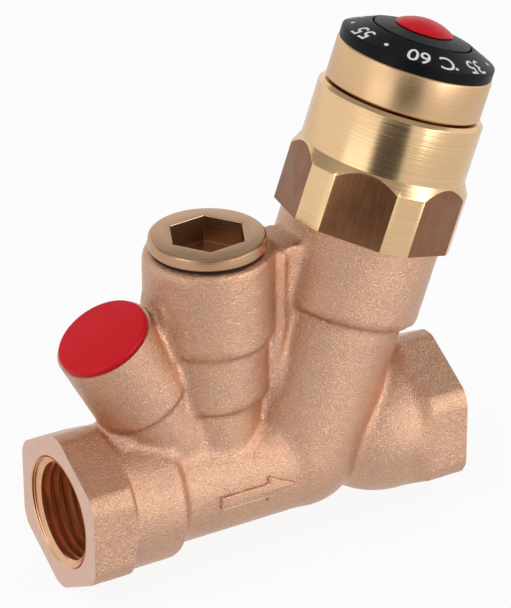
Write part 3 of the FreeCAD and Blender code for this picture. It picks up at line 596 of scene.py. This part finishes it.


# the cast flow arrow: a flat outline raised, its edge rounded, cut into strips and wrapped on the pipe;
# its lower edges take a paler finish, a painted highlight of the light from the floor
def makeArrow():
    half, wide, neck = arrow["shaft"], arrow["head"], arrow["tip"] - arrow["headLength"]
    outline = [(arrow["tail"], -half), (neck, -half), (neck, -wide), (arrow["tip"], 0), (neck, wide),
               (neck, half), (arrow["tail"], half)]
    bm = bmesh.new()
    bm.faces.new([bm.verts.new((x, y, arrow["pipe"] - arrow["sunk"])) for x, y in outline])
    raised = bmesh.ops.extrude_face_region(bm, geom=bm.faces[:], use_keep_orig=True)["geom"]
    bmesh.ops.translate(bm, verts=vertsIn(raised), vec=(0, 0, arrow["sunk"] + arrow["height"]))
    top = max(bm.faces, key=lambda f: f.calc_center_median().z)
    upright = [e for e in bm.edges if abs(e.verts[0].co.z - e.verts[1].co.z) > arrow["sunk"]]
    bmesh.ops.bevel(bm, geom=list(top.edges) + upright, offset=arrow["edge"], offset_type="OFFSET",
                    segments=3, profile=0.5, affect="EDGES", clamp_overlap=True, material=-1)
    cuts = math.floor(wide / arrow["strip"])
    for step in range(-cuts, cuts + 1):
        bmesh.ops.bisect_plane(bm, geom=bm.verts[:] + bm.edges[:] + bm.faces[:],
                               plane_co=(0, step * arrow["strip"], 0), plane_no=(0, 1, 0))
    bmesh.ops.triangulate(bm, faces=bm.faces)
    bm.normal_update()
    for face in bm.faces:
        # faces on the arrow's lower side take the paler look: painted highlight
        face.material_index = 1 if face.normal.y < arrow["lit"] else 0
    for vert in bm.verts:
        turn = math.radians(arrow["turn"]) + vert.co.y / arrow["pipe"]
        vert.co = Vector((vert.co.x, -vert.co.z * math.cos(turn), vert.co.z * math.sin(turn))) * mm
    return makePiece("flow_arrow", bm, "body", ["cast", "painted_highlight"], crease=50)


makeArrow()
print("arrow done")

thread = {"pitch": 1.814, "root": 10.55, "crest": 9.33, "rootFlat": 0.36, "crestFlat": 0.36, "length": 14.6,
          "steps": 72, "leadIn": 10.9, "leadSlope": 1.8, "inset": 0.02, "turnsBelow": 2, "turnsAbove": 1}


# one ridge wound down the socket, cut off square at both ends and eased at the mouth
def makeThread(name, axisName):
    bm = bmesh.new()
    rootHalf = (thread["pitch"] - thread["rootFlat"]) / 2
    crestHalf = thread["crestFlat"] / 2
    section = [(thread["root"], -rootHalf), (thread["root"], rootHalf), (thread["crest"], crestHalf),
               (thread["crest"], -crestHalf)]
    start = -thread["length"] - thread["turnsBelow"] * thread["pitch"]
    verts = [bm.verts.new((r, 0, z + start)) for r, z in section]
    edges = [bm.edges.new((verts[i], verts[(i + 1) % 4])) for i in range(4)]
    turns = math.ceil(thread["length"] / thread["pitch"]) + thread["turnsBelow"] + thread["turnsAbove"]
    steps = turns * thread["steps"]
    bmesh.ops.spin(bm, geom=verts + edges, cent=(0, 0, 0), axis=(0, 0, 1), angle=turns * math.tau,
                   steps=steps, dvec=(0, 0, thread["pitch"] / thread["steps"]))
    for height, up in ((-thread["inset"], 1), (-thread["length"], -1)):
        bmesh.ops.bisect_plane(bm, geom=bm.verts[:] + bm.edges[:] + bm.faces[:], plane_co=(0, 0, height),
                               plane_no=(0, 0, up), clear_outer=True)
    bmesh.ops.holes_fill(bm, edges=[e for e in bm.edges if len(e.link_faces) == 1], sides=0)
    for vert in bm.verts:
        least = thread["leadIn"] + vert.co.z * thread["leadSlope"]
        flat = vert.co.xy.length
        if flat < min(least, thread["root"]):
            vert.co.xy *= min(least, thread["root"]) / flat
    bmesh.ops.transform(bm, matrix=axes[axisName] @ Matrix.Scale(mm, 4), verts=bm.verts)
    return makePiece(name, bm, "body", ["bored"], crease=25)


makeThread("inlet_thread", "inlet")
makeThread("outlet_thread", "outlet")
print("threads done")

crispPieces = {
    "bonnet": {"piece": "turned_bonnet", "body": "body", "slot": "brass",
               "looks": ["turned", "drawn_and_shaded"], "edge": 0.12},
    "head_ring": {"piece": "turned_head_ring", "body": "body", "slot": "brass",
                  "looks": ["ring"], "edge": 0.12},
    "service_plug": {"piece": "turned_service_plug", "body": "body", "slot": "brass",
                     "looks": ["plug", "socket"], "edge": 0.15},
    "scale_ring": {"piece": "moulded_scale_ring", "body": "body", "slot": "black_plastic",
                   "looks": ["black"], "edge": 0.18},
    "pointer_disc": {"piece": "moulded_pointer", "body": "spindle", "slot": "black_plastic",
                     "looks": ["black"], "edge": 0.18},
    "cover_plug": {"piece": "moulded_cover", "body": "cover", "slot": "red_plastic",
                   "looks": ["red"], "edge": 0.2},
    "port_plug": {"piece": "moulded_port_plug", "body": "port_plug", "slot": "red_plastic",
                  "looks": ["red"], "edge": 0.25},
}
edgeAngles = {"flat": 0.2, "sharp": 28}  # in degrees; flatter edges are merged, sharper ones broken
bonnetHex = {"distance": 15.95, "low": 45, "high": 58.7, "within": 0.02}
plugSocket = {"reach": 7.4, "lip": 0.3}


# a turned or moulded piece from its solid, with the sharp edges broken
def makeCrisp(nodeName, piece):
    bm = mergedCopy(nodeName)
    bmesh.ops.dissolve_limit(bm, angle_limit=math.radians(edgeAngles["flat"]), verts=bm.verts, edges=bm.edges)
    least = math.radians(edgeAngles["sharp"])
    sharp = [e for e in bm.edges if len(e.link_faces) == 2 and e.calc_face_angle() > least]
    bmesh.ops.bevel(bm, geom=sharp, offset=piece["edge"] * mm, offset_type="OFFSET", segments=2, profile=0.5,
                    affect="EDGES", clamp_overlap=True, material=-1)
    if nodeName == "bonnet":
        markFlats(bm)
    if nodeName == "service_plug":
        markShadedSocket(bm)
    return makePiece(piece["piece"], bm, piece["body"], piece["looks"], [nodeName], crease=14)


# the bonnet's hexagon flats take the darker brown finish, partly painted shade
def markFlats(bm):
    local = axes["bonnet"].inverted()
    turned = local.to_3x3()
    bm.normal_update()
    for face in bm.faces:
        middle = local @ face.calc_center_median() / mm
        normal = turned @ face.normal
        upright = abs(normal.z) < bonnetHex["within"] and bonnetHex["low"] < middle.z < bonnetHex["high"]
        if upright and abs(middle.dot(normal) - bonnetHex["distance"]) < bonnetHex["within"]:
            face.material_index = 1


# broached walls and floor of the service plug's socket, marked for a darker finish: painted shade in the recess
def markShadedSocket(bm):
    local = axes["service"].inverted()
    top = max((local @ v.co).z for v in bm.verts)
    for face in bm.faces:
        middle = local @ face.calc_center_median()
        if middle.xy.length < plugSocket["reach"] * mm and middle.z < top - plugSocket["lip"] * mm:
            face.material_index = 1


for nodeName, piece in crispPieces.items():
    made = makeCrisp(nodeName, piece)
    print(made.name + ":", len(made.data.polygons), "faces")

dial = {
    "numbers": {"35": -70.5, "60": -125.1, "55": -180.8, "50": -236.3, "45": -291.8, "40": -347.3},
    "dots": [-154, -208.5, -264, -319.5, -375, -402.6], "dot": 0.42,
    "unit": "C", "unitTurn": -101, "degreeTurn": -93.6, "degreeRadius": 13.8, "degreeSize": 0.34, "size": 4.6,
    "middle": 12.9, "lowRadius": 14.6, "lowHeight": 80.35, "highRadius": 9.9, "highHeight": 82.55,
    "proud": 0.04, "thick": 0.12, "bold": 0.006, "spotSides": 24,
}


def letters(text, size):
    curve = bpy.data.curves.new("mark", "FONT")
    curve.body = text
    curve.size = size
    curve.align_x = "CENTER"
    curve.align_y = "CENTER"
    curve.offset = dial["bold"] * size
    lettering = addObject("mark", curve)
    mesh = bpy.data.meshes.new_from_object(lettering.evaluated_get(bpy.context.evaluated_depsgraph_get()))
    bpy.data.objects.remove(lettering)
    bm = bmesh.new()
    bm.from_mesh(mesh)
    bpy.data.meshes.remove(mesh)
    low = min(v.co.y for v in bm.verts)
    high = max(v.co.y for v in bm.verts)
    bmesh.ops.translate(bm, verts=bm.verts, vec=(0, -(low + high) / 2, 0))
    return bm


def spot(radius):
    bm = bmesh.new()
    bmesh.ops.create_circle(bm, cap_ends=True, radius=radius, segments=dial["spotSides"])
    return bm


# a flat mark is given its thickness, laid on the slant with its top outwards, and turned to its place
def layMark(bm, flat, turn, radius):
    bmesh.ops.remove_doubles(flat, verts=flat.verts, dist=1e-4)
    raised = bmesh.ops.extrude_face_region(flat, geom=flat.faces[:], use_keep_orig=True)["geom"]
    bmesh.ops.translate(flat, verts=vertsIn(raised), vec=(0, 0, dial["thick"]))
    slope = math.atan2(dial["highHeight"] - dial["lowHeight"], dial["lowRadius"] - dial["highRadius"])
    for vert in flat.verts:
        rise = vert.co.z + dial["proud"] - dial["thick"]
        out = radius + vert.co.y * math.cos(slope)
        height = dial["lowHeight"] + (dial["lowRadius"] - out) * math.tan(slope) + rise * math.cos(slope)
        out += rise * math.sin(slope)
        angle = math.radians(turn) - vert.co.x / radius
        vert.co = (out * math.cos(angle), out * math.sin(angle), height)
    joinTo(bm, flat)


def makeDialMarks():
    bm = bmesh.new()
    for number, turn in dial["numbers"].items():
        layMark(bm, letters(number, dial["size"]), turn, dial["middle"])
    for turn in dial["dots"]:
        layMark(bm, spot(dial["dot"]), turn, dial["middle"])
    layMark(bm, letters(dial["unit"], dial["size"]), dial["unitTurn"], dial["middle"])
    layMark(bm, spot(dial["degreeSize"]), dial["degreeTurn"], dial["degreeRadius"])
    bmesh.ops.transform(bm, matrix=axes["bonnet"] @ Matrix.Scale(mm, 4), verts=bm.verts)
    return makePiece("dial_marks", bm, "body", ["print"], crease=20)


dialMarks = makeDialMarks()
print("dial:", len(dialMarks.data.polygons), "faces")

springs = {
    "bypass_spring": {"piece": "bypass_coil", "body": "body", "axis": "service",
                      "joint": "bypass_lift", "held": "top"},
    "overtravel_spring": {"piece": "overtravel_coil", "body": "nut", "axis": "bonnet",
                          "joint": "overtravel", "held": "top"},
    "return_spring": {"piece": "return_coil", "body": "body", "axis": "bonnet",
                      "joint": "regulate", "held": "foot"},
}


# a spring is a merged, smoothly shaded copy of its solid, attached to its body
def makeSpring(nodeName, spring):
    bm = mergedCopy(nodeName)
    piece = makePiece(spring["piece"], bm, spring["body"], ["wire"], [nodeName])
    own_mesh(piece)


for nodeName, spring in springs.items():
    makeSpring(nodeName, spring)

# the pieces inside that keep their solids' own shape
innerLooks = {
    "rubber": ["service_plug_gasket", "bonnet_o_ring", "spindle_o_ring_lower", "spindle_o_ring_upper",
               "cone_seal", "bypass_seal"],
    "washer": ["spindle_washer"],
    "wire": ["spindle_circlip", "cup_circlip", "element_piston"],
    "inside": ["setting_spindle", "setting_nut", "spring_cup", "wax_element", "regulating_cone",
               "bypass_cone"],
}
for look, nodeNames in innerLooks.items():
    for nodeName in nodeNames:
        for holder in nodes[nodeName].material_slots:
            holder.material = finishes[look]
    print(look + ":", len(nodeNames), "inner nodes")

studio = {
    "floorSize": 3.0, "floorMiddle": 0.04, "floorGap": 0.05,
    "floorTone": 0.92, "floorWhite": 0.9, "floorDim": 0.14,  # floorDim is taken off what the metal mirrors
    "sky": 0.65, "key": 1.6, "fill": 0.6, "lampSize": 0.4, "lampAim": (0.04, 0, 0.03),
    "keyPlace": (-0.62, -0.12, 0.66), "fillPlace": (0.6, -0.5, 0.35),
    "heart": (0.045, 0, 0.035), "cameraTurn": -29.9,
}


# what the eye and a reflection see of the surroundings, as a share of 1
def seenDirectly(tree):
    path = addNode(tree, "ShaderNodeLightPath", {}, {})
    return path.output("Is Camera Ray") + path.output("Is Glossy Ray") + path.output("Is Transmission Ray")


def makeFloor():
    bm = bmesh.new()
    bmesh.ops.create_grid(bm, x_segments=1, y_segments=1, size=studio["floorSize"] / 2)
    level = cadBox[0][2] - studio["floorGap"] * mm
    bmesh.ops.translate(bm, verts=bm.verts, vec=(studio["floorMiddle"], 0, level))
    mesh = meshFrom("floor", bm)
    material, tree = newFinish("white_floor")
    matte = addNode(tree, "ShaderNodeBsdfDiffuse", {}, {"Color": (*[studio["floorTone"]] * 3, 1)})
    glow = addNode(tree, "ShaderNodeEmission", {}, {"Color": (1, 1, 1, 1), "Strength": 1.0})
    share = seenDirectly(tree) * studio["floorWhite"]
    mixed = addNode(tree, "ShaderNodeMixShader", {}, {"Fac": share, 1: matte, 2: glow})
    mirrored = addNode(tree, "ShaderNodeLightPath", {}, {}).output("Is Glossy Ray") * studio["floorDim"]
    dark = addNode(tree, "ShaderNodeBsdfDiffuse", {}, {"Color": (0, 0, 0, 1)})
    dimmed = addNode(tree, "ShaderNodeMixShader", {}, {"Fac": mirrored, 1: mixed, 2: dark})
    addNode(tree, "ShaderNodeOutputMaterial", {}, {"Surface": dimmed})
    mesh.materials.append(material)
    floor = addObject("floor", mesh)


def makeLamp(name, place, energy):
    lamp = bpy.data.lights.new(name, "AREA")
    lamp.size = studio["lampSize"]
    lamp.energy = energy
    holder = addObject(name, lamp)
    holder.location = place
    holder.rotation_euler = (Vector(place) - Vector(studio["lampAim"])).to_track_quat("Z", "Y").to_euler()


def makeSky():
    world = bpy.data.worlds.new("white_room")
    world.use_nodes = True
    tree = world.node_tree
    tree.nodes.clear()
    strength = studio["sky"] + seenDirectly(tree) * (1 - studio["sky"])
    sky = addNode(tree, "ShaderNodeBackground", {}, {"Color": (1, 1, 1, 1), "Strength": strength})
    addNode(tree, "ShaderNodeOutputWorld", {}, {"Surface": sky})
    scene.world = world


# a grey card and soft boxes that the metal mirrors and the camera doesn't see; turn is from the camera's side
cards = [
    {"name": "ceiling", "turn": 0, "height": 90, "distance": 0.62, "size": (2.0, 2.0), "glow": 0.42},
    {"name": "camera_card", "turn": 1, "height": 6.6, "distance": 0.28, "size": (0.2, 0.165), "shade": 0.12},
    {"name": "left_box", "turn": -42, "height": 5, "distance": 0.6, "size": (0.38, 0.22), "glow": 1.7},
    {"name": "right_box", "turn": 58, "height": 10, "distance": 0.7, "size": (0.5, 0.36), "glow": 3.8},
]


def makeCard(card):
    turn, height = math.radians(card["turn"] + studio["cameraTurn"]), math.radians(card["height"])
    away = Vector((math.sin(turn) * math.cos(height), -math.cos(turn) * math.cos(height), math.sin(height)))
    bm = bmesh.new()
    bmesh.ops.create_grid(bm, x_segments=1, y_segments=1, size=0.5)
    bmesh.ops.scale(bm, vec=(card["size"][0], card["size"][1], 1), verts=bm.verts)
    bmesh.ops.rotate(bm, verts=bm.verts, cent=(0, 0, 0), matrix=away.to_track_quat("Z", "Y").to_matrix())
    bmesh.ops.translate(bm, verts=bm.verts, vec=away * card["distance"] + Vector(studio["heart"]))
    mesh = meshFrom(card["name"], bm)
    material, tree = newFinish(card["name"])
    if "glow" in card:
        board = addNode(tree, "ShaderNodeEmission", {}, {"Color": (1, 1, 1, 1), "Strength": card["glow"]})
    else:
        board = addNode(tree, "ShaderNodeBsdfDiffuse", {}, {"Color": (*[card["shade"]] * 3, 1)})
    addNode(tree, "ShaderNodeOutputMaterial", {}, {"Surface": board})
    mesh.materials.append(material)
    holder = addObject(card["name"], mesh)
    holder.visible_camera = False
    holder.visible_shadow = False
    holder.visible_diffuse = False


makeFloor()
makeSky()
makeLamp("key_lamp", studio["keyPlace"], studio["key"])
makeLamp("fill_lamp", studio["fillPlace"], studio["fill"])
for card in cards:
    makeCard(card)
print("studio done")

photoView = {"place": (-0.2437, -0.4938, 0.3313), "heading": 30.052, "dip": 27.707, "roll": -0.459,
             "lens": 207.43, "filmWidth": 36, "nearest": 0.01}


def makeCamera():
    camera = bpy.data.cameras.new("photo_view")
    camera.lens = photoView["lens"]
    camera.sensor_width = photoView["filmWidth"]
    camera.sensor_fit = "AUTO"
    camera.clip_start = photoView["nearest"]
    holder = addObject("photo_view", camera)
    heading = Matrix.Rotation(-math.radians(photoView["heading"]), 4, "Z")
    dip = Matrix.Rotation(math.radians(90 - photoView["dip"]), 4, "X")
    roll = Matrix.Rotation(math.radians(photoView["roll"]), 4, "Z")
    holder.matrix_world = Matrix.Translation(photoView["place"]) @ heading @ dip @ roll
    scene.camera = holder


makeCamera()
scene.view_settings.view_transform = "Standard"
